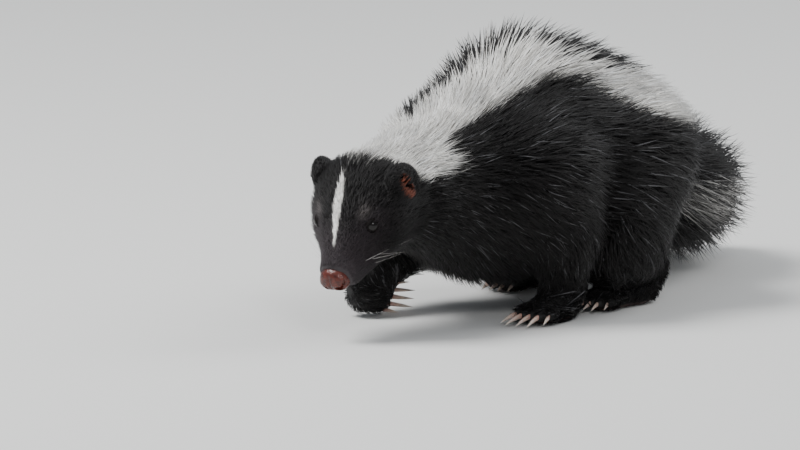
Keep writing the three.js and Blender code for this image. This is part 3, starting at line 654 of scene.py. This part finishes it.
def uv_of(p, region):
    """Places in the bake: the body above, and the head, tail and legs in a row below it."""
    along = (p[:, 1] + 145) / 270
    turn = np.arctan2(p[:, 0] + 5, p[:, 2] - 62) / (2 * np.pi) + 0.5
    u, v = 0.01 + 0.97 * turn, 0.36 + 0.62 * np.clip(along, 0, 1)
    q = to_head(p)
    head = region == ON_HEAD
    u = np.where(head, 0.01 + 0.46 * (np.arctan2(q[:, 0], q[:, 2] + 5) / (2 * np.pi) + 0.5), u)
    v = np.where(head, 0.01 + 0.32 * np.clip((q[:, 1] + 35) / 85, 0, 1), v)
    tail_along, _, radial = tail_place(p)
    tail = region == ON_TAIL
    u = np.where(tail, 0.50 + 0.24 * (np.arctan2(radial[:, 0], radial[:, 2]) / (2 * np.pi) + 0.5), u)
    v = np.where(tail, 0.01 + 0.32 * tail_along, v)
    for i, name in enumerate(REGIONS[ON_LEGS:]):
        leg = region == ON_LEGS + i
        middle = LEGS[name][1][0]
        around = np.arctan2(p[:, 0] - middle[0], p[:, 1] - middle[1]) / (2 * np.pi) + 0.5
        u = np.where(leg, 0.77 + 0.21 * around, u)
        v = np.where(leg, 0.01 + 0.08 * i + 0.07 * np.clip(p[:, 2] / 75, 0, 1), v)
    return np.stack([u, v], 1)


def tuft_mesh(name, paths, across, width, colours, uv):
    """Closed three-sided tapered tufts, all in one mesh."""
    count, rows, _ = paths.shape
    rings = rows - 1
    profile = np.interp(np.linspace(0, 1, rows)[:rings], [0, 0.35, 0.75, 1], [0.7, 1, 0.62, 0.1])
    along = unit(np.diff(paths, axis=1))
    side = unit(across[:, :rings] - along * (across[:, :rings] * along).sum(-1, keepdims=True))
    up = np.cross(along, side)
    turned = []
    for corner in TUFT_CORNERS:
        a = 2 * np.pi * corner
        offset = side * math.cos(a) + up * (TUFT_FLATNESS * math.sin(a))
        turned.append(paths[:, :rings] + offset * (0.5 * width[:, None] * profile)[..., None])
    body = np.stack(turned, 2).reshape(count, rings * 3, 3)
    points = np.concatenate([body, paths[:, -1:]], 1)
    per = rings * 3 + 1
    faces = [(0, 2, 1)]
    for r in range(rings - 1):
        for c in range(3):
            a, b = 3 * r + c, 3 * r + (c + 1) % 3
            faces += [(a, b, b + 3), (a, b + 3, a + 3)]
    last = 3 * (rings - 1)
    faces += [(last + c, last + (c + 1) % 3, per - 1) for c in range(3)]
    faces = np.array(faces)
    every = (faces[None] + per * np.arange(count)[:, None, None]).reshape(-1, 3)
    mesh = bpy.data.meshes.new(name)
    mesh.vertices.add(count * per)
    mesh.vertices.foreach_set("co", metres(points).ravel())
    mesh.loops.add(len(every) * 3)
    mesh.loops.foreach_set("vertex_index", every.ravel().astype(np.int32))
    mesh.polygons.add(len(every))
    mesh.polygons.foreach_set("loop_start", np.arange(0, 3 * len(every), 3, dtype=np.int32))
    mesh.polygons.foreach_set("use_smooth", np.ones(len(every), bool))
    mesh.update(calc_edges=True)
    patch = np.zeros((per, 2))
    patch[:-1, 0] = np.tile([0, 1, -1], rings) * PATCH_WIDTH
    patch[:-1, 1] = np.repeat(np.linspace(0, 0.8, rings), 3) * PATCH_LENGTH - PATCH_LENGTH / 2
    patch[-1] = (0, PATCH_LENGTH / 2)
    at = (uv[:, None] + patch[None]).reshape(-1, 2)
    layer = mesh.uv_layers.new(name="OFBake")
    layer.data.foreach_set("uv", at[every.ravel()].ravel())
    piece = bpy.data.objects.new(name, mesh)
    bpy.context.collection.objects.link(piece)
    paint(piece, np.repeat(colours, per, axis=0))
    return piece


def make_coat(name, roots, segments, length_of, stand, width_of, tip_low, tip_high, shade):
    paths, across, width, distances = grow_tufts(
        roots, segments, length_of, stand, width_of, tip_low, tip_high)
    region = distances.argmin(1)
    noise = rng.normal(0, 0.35, len(roots))
    seen = paths[:, -1] * 0.45 + paths[:, -2] * 0.55
    colours, white = colours_at(seen, distances, noise)
    tone = rng.uniform(*shade, len(roots))[:, None]
    dark = 1 - white[:, None]
    # Painted sheen: a few dark tufts off the head are given a lighter grey
    sheen_fleck = (rng.random(len(roots)) < SHEEN_FLECKS)[:, None] * dark * (region != ON_HEAD)[:, None]
    shaded = colours * (1 + (tone - 1) * (1 - 0.6 * white[:, None]))
    colours = np.clip(shaded + SHEEN_FLECK_COLOUR * sheen_fleck, 0, 0.92)
    uv = uv_of(roots, region)
    order = np.argsort(roots[:, 1])
    triangles = 1 + 6 * (segments - 1) + 3
    parts = int(np.ceil(len(roots) * triangles / PIECE_TRIANGLES))
    made = []
    for i, chosen in enumerate(np.array_split(order, parts)):
        made.append(tuft_mesh(f"{name}_{i + 1}", paths[chosen], across[chosen], width[chosen],
                              colours[chosen], uv[chosen]))
    return made


centres = skin_points[skin_faces].mean(1)
face_distances = region_of(centres)
face_region = face_distances.argmin(1)
face_head = to_head(centres)
keep_clear = np.ones(len(centres))
keep_clear[centres[:, 2] < 2.5] = 0
keep_clear[ellipsoid(face_head, NOSE_AT, NOSE_RADII + 0.8) < 0] = 0
keep_clear[np.linalg.norm(mirrored(face_head) - EYE_AT, axis=1) < EYE_RADIUS - 0.2] = 0
ear_here = (mirrored(face_head) - EAR_AT) @ EAR_AXES
in_cup = (ear_here[:, 2] > 0.5) & (ellipsoid(ear_here, EAR_CUP_AT, EAR_CUP) < 0.8)
keep_clear[in_cup] = 0

upper_legs = (face_region >= ON_LEGS) & (centres[:, 2] > SHORT_BELOW)
long_coat = keep_clear * ((face_region == ON_BODY) | upper_legs)
roots = scatter(BODY_TUFTS, long_coat)
coat = make_coat("coat_body", roots, 3,
                 lambda depth, region: np.where(region < ON_LEGS, 9, 4) + 1.1 * depth, 0.9,
                 lambda depth: 0.6 + 0.032 * depth, 0.6, 1.16, (0.6, 1.35))
on_tail = keep_clear * (face_region == ON_TAIL)
roots = scatter(TAIL_TUFTS, on_tail)
coat += make_coat("coat_tail", roots, 3,
                  lambda depth, _: 26 + 1.3 * depth, 0.9,
                  lambda depth: np.full(len(depth), 1.05), 0.5, 1.42, (0.6, 1.35))
on_head = keep_clear * (face_region == ON_HEAD)
on_head = on_head * (1 + 1.5 * smoothstep(face_head[:, 1], 5, 30))
roots = scatter(HEAD_TUFTS, on_head)
coat += make_coat("coat_head", roots, 2,
                  lambda depth, _: 2.0 + 1.1 * np.minimum(depth, 9), 0.8,
                  lambda depth: 0.40 + 0.05 * np.minimum(depth, 9), 0.45, 1.12, (0.65, 1.35))
low_legs = keep_clear * ((face_region >= ON_LEGS) & (centres[:, 2] <= SHORT_BELOW))
for foot in FEET.values():
    past = (centres - foot["ball"]) @ unit(foot["forward"])
    near = np.linalg.norm(centres - foot["ball"], axis=1) < 24
    low_legs = low_legs * np.where(near, 1 - smoothstep(past, 2, 10), 1)
roots = scatter(FOOT_TUFTS, low_legs)
coat += make_coat("coat_feet", roots, 2,
                  lambda depth, _: 2.2 + 1.0 * np.minimum(depth, 6), 0.8,
                  lambda depth: 0.5 + 0.03 * depth, 0.4, 1.1, (0.7, 1.3))


# Eyes, lids and nose

def lathe_patch(rows, closed_front):
    """Faces between rings of equal length, the last ring closed on a point where asked."""
    sides = len(rows[0])
    points = np.concatenate(rows)
    faces = []
    for r in range(len(rows) - 1):
        for s in range(sides):
            a, b = r * sides + s, r * sides + (s + 1) % sides
            faces.append([a, b, b + sides, a + sides])
    if closed_front:
        points = np.concatenate([points, rows[-1].mean(0)[None], rows[0].mean(0)[None]])
        last = (len(rows) - 1) * sides
        top, bottom = len(points) - 2, len(points) - 1
        for s in range(sides):
            faces.append([last + s, last + (s + 1) % sides, top])
            faces.append([(s + 1) % sides, s, bottom])
    return points, faces


def gaze(side):
    look = unit(GAZE * vec(side, 1, 1))
    along = EYE_LINE * vec(side, 1, 1)
    along = unit(along - look * (along @ look))
    return look, along, np.cross(look, along)


EYE_RINGS, EYE_SIDES = 20, 32


def make_eye(side):
    look, along, across = gaze(side)
    rows = []
    ring = np.linspace(0, 2 * np.pi, EYE_SIDES, endpoint=False)[:, None]
    around = np.cos(ring) * along + np.sin(ring) * across
    for a in np.linspace(0.08, np.pi - 0.08, EYE_RINGS):
        rows.append(BALL_RADIUS * (math.cos(a) * look + math.sin(a) * around))
    points, faces = lathe_patch(rows, True)
    name = "eye_left_ball" if side > 0 else "eye_right_ball"
    return mesh_piece(name, from_head(points + EYE_AT * vec(side, 1, 1)), faces)


# Half opening of the lids in degrees, at the corners and between them, and points in a ring
LID_CORNER, LID_MIDDLE, LID_SIDES = 52, 33, 40
LID_GAP = 0.12
# Lid rings: how far each is turned back from the opening, and its height off the ball
LID_PROFILE = [(0, -0.1), (0.03, 0.2), (0.10, 0.38), (0.22, 0.42), (0.38, 0.4), (0.6, 0.3),
               (0.9, -0.6), (0.45, -0.9), (0.1, -0.5)]


def make_lids(side):
    look, along, across = gaze(side)
    ring = np.linspace(0, 2 * np.pi, LID_SIDES, endpoint=False)
    corner = np.abs(np.cos(ring)) ** 1.5
    open_angle = np.radians(LID_CORNER) * corner + np.radians(LID_MIDDLE) * (1 - corner)
    around = np.cos(ring)[:, None] * along + np.sin(ring)[:, None] * across
    rows = []
    for more, out in LID_PROFILE:
        a = (open_angle + more)[:, None]
        rows.append((BALL_RADIUS + LID_GAP + out) * (np.cos(a) * look + np.sin(a) * around))
    points, faces = lathe_patch(rows + [rows[0]], False)
    count = len(rows) * LID_SIDES
    faces = [[i % count for i in f] for f in faces]
    name = "lids_left" if side > 0 else "lids_right"
    return mesh_piece(name, from_head(points[:count] + EYE_AT * vec(side, 1, 1)), faces)


def nose_shape(p):
    q = to_head(p)
    m = mirrored(q)
    d = ellipsoid(q, NOSE_AT, NOSE_RADII)
    d = blend(d, ellipsoid(m, NOSE_AT + vec(4.5, 1.0, -0.6), vec(4.3, 5.2, 4.8)), 2)
    hole = ellipsoid(m, vec(4.5, 48.4, -6.2), vec(2.2, 3.4, 1.8))
    slit = round_cone(m, vec(5.8, 48, -6.2), vec(8.8, 45, -2.8), 1.1, 0.6)
    d = np.maximum(d, -blend(hole, slit, 1))
    groove = 0.8 * np.exp(-(q[:, 0] / 0.8) ** 2) * smoothstep(q[:, 1], 44, 48)
    return d + groove


def make_nose():
    corners = [NOSE_AT + vec(a, b, c) for a in (-12, 12) for b in (-9, 10) for c in (-10, 10)]
    corners = from_head(np.array(corners))
    points, quads = surface(nose_shape, corners.min(0), corners.max(0), 0.55)
    points = settle(nose_shape, points, 2, 0.3)
    return mesh_piece("nose_pad", points, quads)


eyes = [make_eye(1), make_eye(-1)]
lids = [make_lids(1), make_lids(-1)]
nose = make_nose()


# Claws and whiskers

def tube(path, radii, sides, flat=1.0, up=vec(0, 0, 1)):
    rows = []
    for i, p in enumerate(path):
        way = unit(path[min(i + 1, len(path) - 1)] - path[max(i - 1, 0)])
        side = unit(np.cross(way, up))
        top = np.cross(side, way)
        ring = np.linspace(0, 2 * np.pi, sides, endpoint=False)[:, None]
        rows.append(p + radii[i] * (np.cos(ring) * side * flat + np.sin(ring) * top))
    return lathe_patch(rows, True)


def joined(parts):
    """One set of points and faces made from several."""
    starts = np.cumsum([0] + [len(points) for points, _ in parts])
    faces = [[i + start for i in f] for start, (_, some) in zip(starts, parts) for f in some]
    return np.concatenate([points for points, _ in parts]), faces


CLAW_SIDES = 10
CLAW_TAPER = [1, 1.02, 1, 0.94, 0.84, 0.7, 0.52, 0.3, 0.08]
# From the root to the tip, the horn's colour at CLAW_TURN of the length
CLAW_PINK, CLAW_HORN, CLAW_PALE = vec(0.42, 0.15, 0.12), vec(0.58, 0.42, 0.35), vec(0.78, 0.70, 0.62)
CLAW_TURN = 0.4


def make_claws(name):
    foot = FEET[name]
    parts, tips = [], []
    for row in range(-2, 3):
        root, way, up, reach, claw = toe_points(foot, row)
        t = np.linspace(0, 1, len(CLAW_TAPER))
        start = root + way * (reach - 2.5) - up * 0.2
        path = start + way * (t * (claw + 1.5))[:, None] - up * (3.2 * t ** 1.8)[:, None]
        path[:, 2] = np.maximum(path[:, 2], 0.5)
        radii = foot["toe"]["claw_radius"] * np.array(CLAW_TAPER)
        parts.append(tube(path, radii, CLAW_SIDES, 0.72, up))
        tips.append(np.concatenate([np.repeat(t, CLAW_SIDES), [1, 0]]))
    piece = mesh_piece("claws_" + name, *joined(parts))
    t = np.concatenate(tips)[:, None]
    near = CLAW_PINK + (CLAW_HORN - CLAW_PINK) * t / CLAW_TURN
    far = CLAW_HORN + (CLAW_PALE - CLAW_HORN) * (t - CLAW_TURN) / 0.6
    paint(piece, np.where(t < CLAW_TURN, near, far))
    return piece


# Whiskers: root in the head's axes, and length
WHISKERS = [(11, 33, -6, 17), (13, 29, -7, 20), (15, 24, -8, 15), (11, 31, -11, 18), (14, 24, -13, 20)]


def make_whiskers():
    parts = []
    for side in (1, -1):
        for left, ahead, up, length in WHISKERS:
            start = vec(left - 1, ahead, up)
            way = unit(vec(0.85, -0.25 + rng.normal(0, 0.12), 0.15 + rng.normal(0, 0.15)))
            t = np.linspace(0, 1, 8)[:, None]
            path = start + way * length * t + vec(0.05, -0.30, -0.25) * length * t ** 2
            path = from_head(path * vec(side, 1, 1))
            path[:, 2] = np.maximum(path[:, 2], 1)
            parts.append(tube(path, 0.14 * (1 - 0.85 * t[:, 0]), 5))
    return mesh_piece("whiskers", *joined(parts))


claws = [make_claws(name) for name in FEET]
whiskers = make_whiskers()


# Materials

def new_material(name):
    made = bpy.data.materials.new(name)
    made.use_nodes = True
    nodes = made.node_tree.nodes
    return made, nodes, made.node_tree.links, nodes["Principled BSDF"]


def noise_node(nodes, links, scale, detail=3.0):
    place = nodes.new("ShaderNodeTexCoord")
    noise = nodes.new("ShaderNodeTexNoise")
    noise.inputs["Scale"].default_value = scale
    noise.inputs["Detail"].default_value = detail
    links.new(place.outputs["Object"], noise.inputs["Vector"])
    return noise


def marked_colour(nodes, links, shader, scale, low, high):
    marking = nodes.new("ShaderNodeVertexColor")
    marking.layer_name = "Marking"
    noise = noise_node(nodes, links, scale)
    span = nodes.new("ShaderNodeMapRange")
    span.inputs["From Min"].default_value = 0.3
    span.inputs["From Max"].default_value = 0.7
    span.inputs["To Min"].default_value = low
    span.inputs["To Max"].default_value = high
    links.new(noise.outputs["Fac"], span.inputs["Value"])
    mix = nodes.new("ShaderNodeMix")
    mix.data_type = "RGBA"
    mix.blend_type = "MULTIPLY"
    mix.inputs["Factor"].default_value = 1
    links.new(marking.outputs["Color"], mix.inputs["A"])
    links.new(span.outputs["Result"], mix.inputs["B"])
    links.new(mix.outputs["Result"], shader.inputs["Base Color"])


def bump(nodes, links, shader, scale, strength, distance):
    noise = noise_node(nodes, links, scale, 4.0)
    made = nodes.new("ShaderNodeBump")
    made.inputs["Strength"].default_value = strength
    made.inputs["Distance"].default_value = distance
    links.new(noise.outputs["Fac"], made.inputs["Height"])
    links.new(made.outputs["Normal"], shader.inputs["Normal"])


def fur_material():
    made, nodes, links, shader = new_material("fur")
    marked_colour(nodes, links, shader, 60, 0.75, 1.3)
    shader.inputs["Roughness"].default_value = 0.5
    shader.inputs["Specular IOR Level"].default_value = 0.22
    shader.inputs["Sheen Weight"].default_value = 0.03
    shader.inputs["Sheen Roughness"].default_value = 0.4
    return made


def skin_material():
    made, nodes, links, shader = new_material("skin")
    marked_colour(nodes, links, shader, 140, 0.7, 1.25)
    bump(nodes, links, shader, 900, 0.5, 0.0006)
    shader.inputs["Roughness"].default_value = 0.7
    return made


def eye_material():
    made, nodes, links, shader = new_material("eye")
    ramp = nodes.new("ShaderNodeValToRGB")
    ramp.color_ramp.elements[0].color = (0.001, 0.001, 0.001, 1)
    ramp.color_ramp.elements[1].color = (0.008, 0.005, 0.004, 1)
    links.new(noise_node(nodes, links, 260).outputs["Fac"], ramp.inputs["Fac"])
    links.new(ramp.outputs["Color"], shader.inputs["Base Color"])
    shader.inputs["Roughness"].default_value = 0.06
    shader.inputs["Specular IOR Level"].default_value = 0.3
    return made


def leather_material(name, dark, light, scale, rough, height, shine=0.5):
    made, nodes, links, shader = new_material(name)
    shader.inputs["Specular IOR Level"].default_value = shine
    ramp = nodes.new("ShaderNodeValToRGB")
    ramp.color_ramp.elements[0].position = 0.35
    ramp.color_ramp.elements[1].position = 0.68
    ramp.color_ramp.elements[0].color = (*dark, 1)
    ramp.color_ramp.elements[1].color = (*light, 1)
    links.new(noise_node(nodes, links, scale * 0.3).outputs["Fac"], ramp.inputs["Fac"])
    links.new(ramp.outputs["Color"], shader.inputs["Base Color"])
    shader.inputs["Roughness"].default_value = rough
    cells = nodes.new("ShaderNodeTexVoronoi")
    cells.inputs["Scale"].default_value = scale
    place = nodes.new("ShaderNodeTexCoord")
    links.new(place.outputs["Object"], cells.inputs["Vector"])
    made_bump = nodes.new("ShaderNodeBump")
    made_bump.inputs["Strength"].default_value = 0.5
    made_bump.inputs["Distance"].default_value = height
    links.new(cells.outputs["Distance"], made_bump.inputs["Height"])
    links.new(made_bump.outputs["Normal"], shader.inputs["Normal"])
    return made


def claw_material():
    made, nodes, links, shader = new_material("claw")
    marked_colour(nodes, links, shader, 500, 0.85, 1.1)
    shader.inputs["Roughness"].default_value = 0.32
    shader.inputs["Subsurface Weight"].default_value = 0.1
    shader.inputs["Subsurface Radius"].default_value = (0.002, 0.001, 0.0005)
    return made


def finish(piece, material):
    piece.data.materials.clear()
    piece.data.materials.append(material)
    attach(piece, "root")


fur = fur_material()
for piece in coat:
    finish(piece, fur)
finish(skin, skin_material())
dark_eye = eye_material()
for piece in eyes:
    finish(piece, dark_eye)
lid = leather_material("lid", (0.006, 0.005, 0.005), (0.016, 0.012, 0.012), 900, 0.75, 0.0002, 0.08)
for piece in lids:
    finish(piece, lid)
red = leather_material("nose", (0.045, 0.007, 0.004), (0.12, 0.022, 0.013), 1300, 0.27, 0.00025)
finish(nose, red)
horn = claw_material()
for piece in claws:
    finish(piece, horn)
pale = leather_material("whisker", (0.45, 0.42, 0.40), (0.75, 0.72, 0.70), 300, 0.4, 0.00002)
finish(whiskers, pale)

flesh = [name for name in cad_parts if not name.startswith(("eye_", "nose"))]
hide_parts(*flesh)
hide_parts("eye_left")
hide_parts("eye_right")
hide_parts("nose")


# Floor, light and camera

# Area lights: place and size in metres, power in watts; all aim at the middle of the body
LIGHTS = [
    ("key", (-0.9, -0.9, 1.9), 1.0, 58),
    ("fill", (1.7, -1.5, 1.5), 0.6, 16),
    ("rim", (0.9, 1.8, 1.6), 1.5, 26),
]
AIM = (0, 0, 0.08)


def make_floor():
    bpy.ops.mesh.primitive_plane_add(size=12, location=(0, 0, 0))
    floor = bpy.context.object
    floor.name = "floor"
    made, _, _, shader = new_material("floor")
    shader.inputs["Base Color"].default_value = (0.80, 0.80, 0.78, 1)
    shader.inputs["Roughness"].default_value = 0.8
    floor.data.materials.append(made)


def make_light(name, place, size, power):
    lamp = bpy.data.lights.new(name, "AREA")
    lamp.size = size
    lamp.energy = power
    made = bpy.data.objects.new(name, lamp)
    made.location = place
    made.rotation_euler = (Vector(AIM) - Vector(place)).to_track_quat("-Z", "Y").to_euler()
    bpy.context.collection.objects.link(made)


make_floor()
for light in LIGHTS:
    make_light(*light)
world = bpy.data.worlds.new("studio")
world.use_nodes = True
world.node_tree.nodes["Background"].inputs["Color"].default_value = (0.82, 0.86, 0.92, 1)
world.node_tree.nodes["Background"].inputs["Strength"].default_value = 0.45
bpy.context.scene.world = world

# The view: its direction, pixels for each millimetre, and the pixel where the design origin falls
AZIMUTH, ELEVATION = np.radians([38, 9])
SCALE, ORIGIN_PIXEL, IMAGE = 1.8, (490, 314), (800, 450)
DISTANCE, SENSOR = 9.0, 36.0
right = vec(math.cos(AZIMUTH), math.sin(AZIMUTH), 0)
flat = math.cos(ELEVATION)
toward = vec(math.sin(AZIMUTH) * flat, -math.cos(AZIMUTH) * flat, math.sin(ELEVATION))
up = np.cross(toward, right)
target = (right * (IMAGE[0] / 2 - ORIGIN_PIXEL[0]) + up * (ORIGIN_PIXEL[1] - IMAGE[1] / 2)) / SCALE
camera = bpy.data.objects.new("camera", bpy.data.cameras.new("camera"))
bpy.context.collection.objects.link(camera)
camera.data.sensor_width = SENSOR
camera.data.lens = SENSOR * DISTANCE * 1000 * SCALE / IMAGE[0]
camera.data.clip_end = 100
camera.matrix_world = Matrix.Translation(Vector(metres(target) + toward * DISTANCE)) @ Matrix(
    np.stack([right, up, toward], 1).tolist()).to_4x4()
bpy.context.scene.camera = camera
